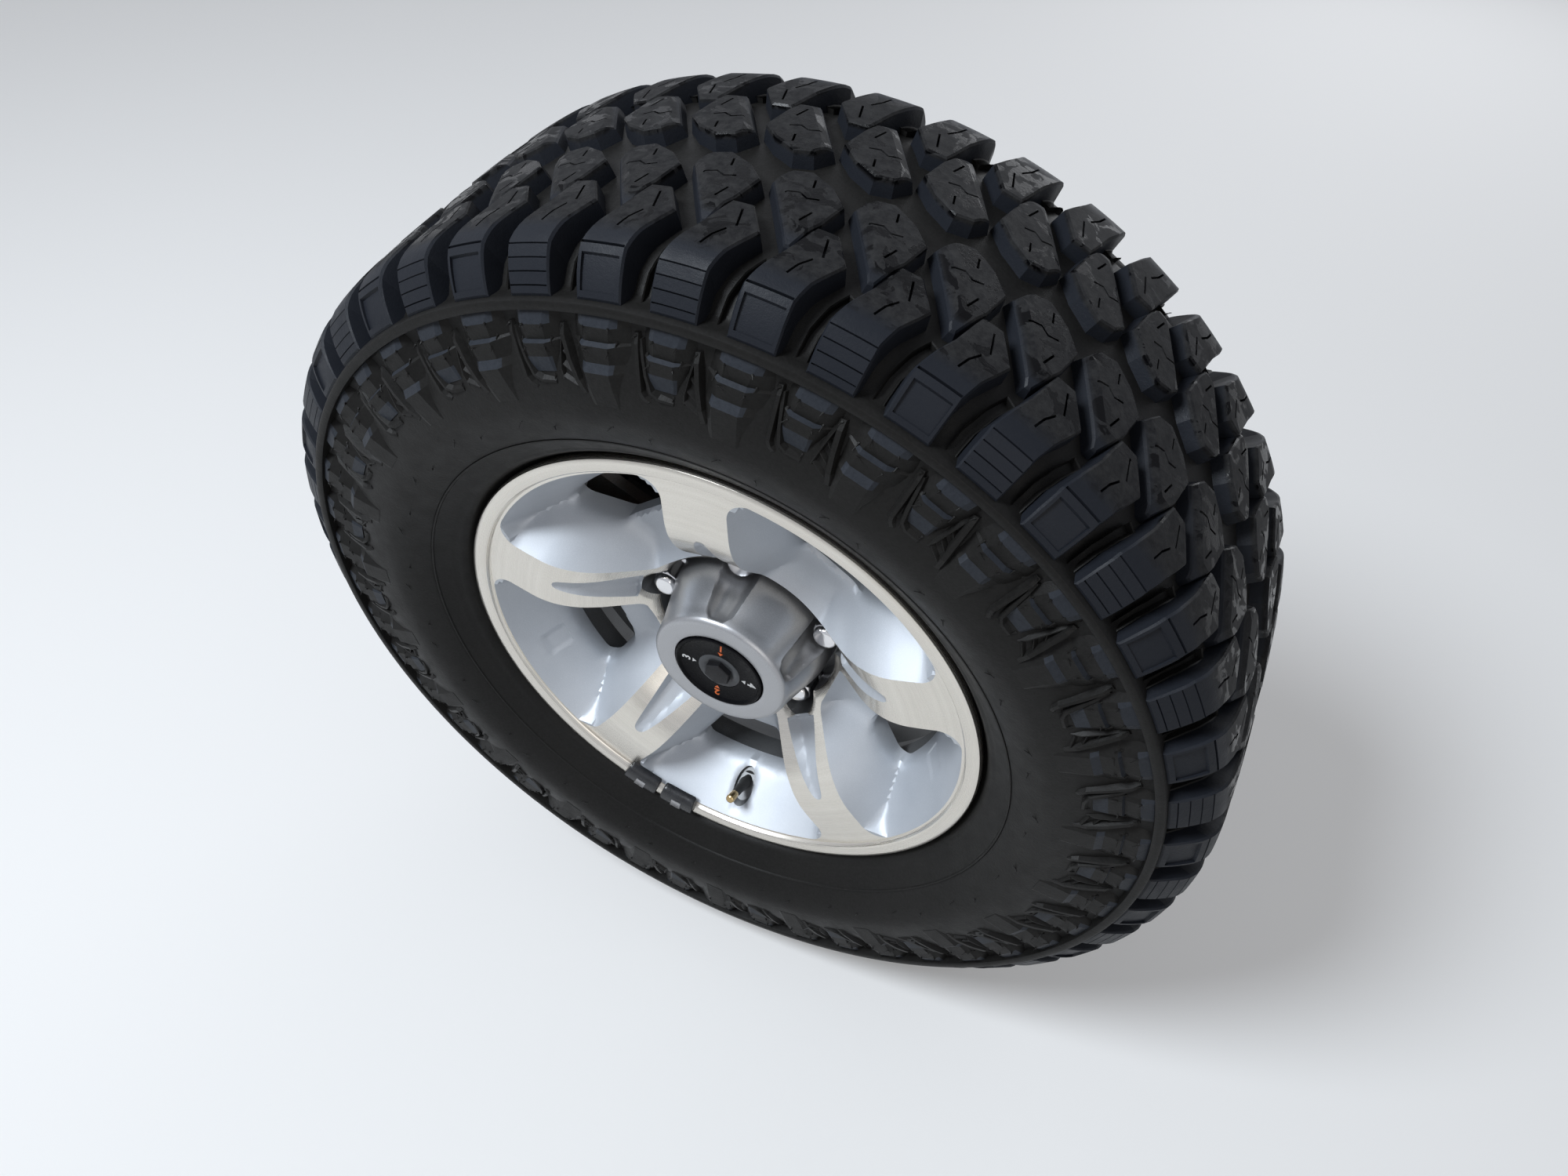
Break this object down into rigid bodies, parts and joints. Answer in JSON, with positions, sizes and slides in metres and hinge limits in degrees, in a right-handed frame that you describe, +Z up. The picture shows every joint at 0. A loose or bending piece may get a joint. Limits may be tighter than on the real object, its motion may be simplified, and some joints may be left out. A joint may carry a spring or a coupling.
{
  "type": "off-road vehicle front wheel",
  "caption": "Front wheel of an off-road vehicle: mud-terrain tyre on a spoked alloy rim, turning on its hub, brake disc and steering knuckle.",
  "frame": {"origin": "where the kingpin axis crosses the wheel's axis, in the middle of the split kingpin bore", "axes": "+Y along the wheel's axis, inboard; +X forward; +Z up"},
  "size_m": [0.777, 0.2926, 0.7766],
  "materials": {
    "tyre": "moulded rubber",
    "alloy": "cast, painted silver with machined faces",
    "cap_silver": "satin silver",
    "lock_alloy": "cast",
    "dial_black": "gloss black",
    "knob_black": "matt black",
    "nut_chrome": "bright plated",
    "hub_iron": "cast and machined",
    "bearing_steel": "ground",
    "disc_iron": "turned faces",
    "valve_rubber": "moulded",
    "weight_black": "coated black",
    "axle_steel": "turned",
    "shield_black": "pressed, painted black",
    "knuckle_iron": "cast, painted dark",
    "caliper_iron": "cast",
    "pad_dark": "pressed lining"
  },
  "bodies": {
    "knuckle": {"steering_knuckle": "knuckle_iron", "stub_axle": "axle_steel", "dust_shield": "shield_black", "brake_caliper": "caliper_iron", "brake_pads": "pad_dark"},
    "wheel": {"tyre": "tyre", "rim": "alloy", "centre_cap": "cap_silver", "locking_hub": "lock_alloy", "dial_ring": "dial_black", "dial_knob": "knob_black", "wheel_nuts": "nut_chrome", "hub": "hub_iron", "wheel_bearings": "bearing_steel", "brake_disc": "disc_iron", "valve": "valve_rubber", "balance_weights": "weight_black"}
  },
  "joints": [
    {"name": "wheel_spin", "type": "hinge", "parent": "knuckle", "child": "wheel", "pos_m": [0, -0.1125, 0], "axis": [0, 1, 0], "continuous": true}
  ]
}
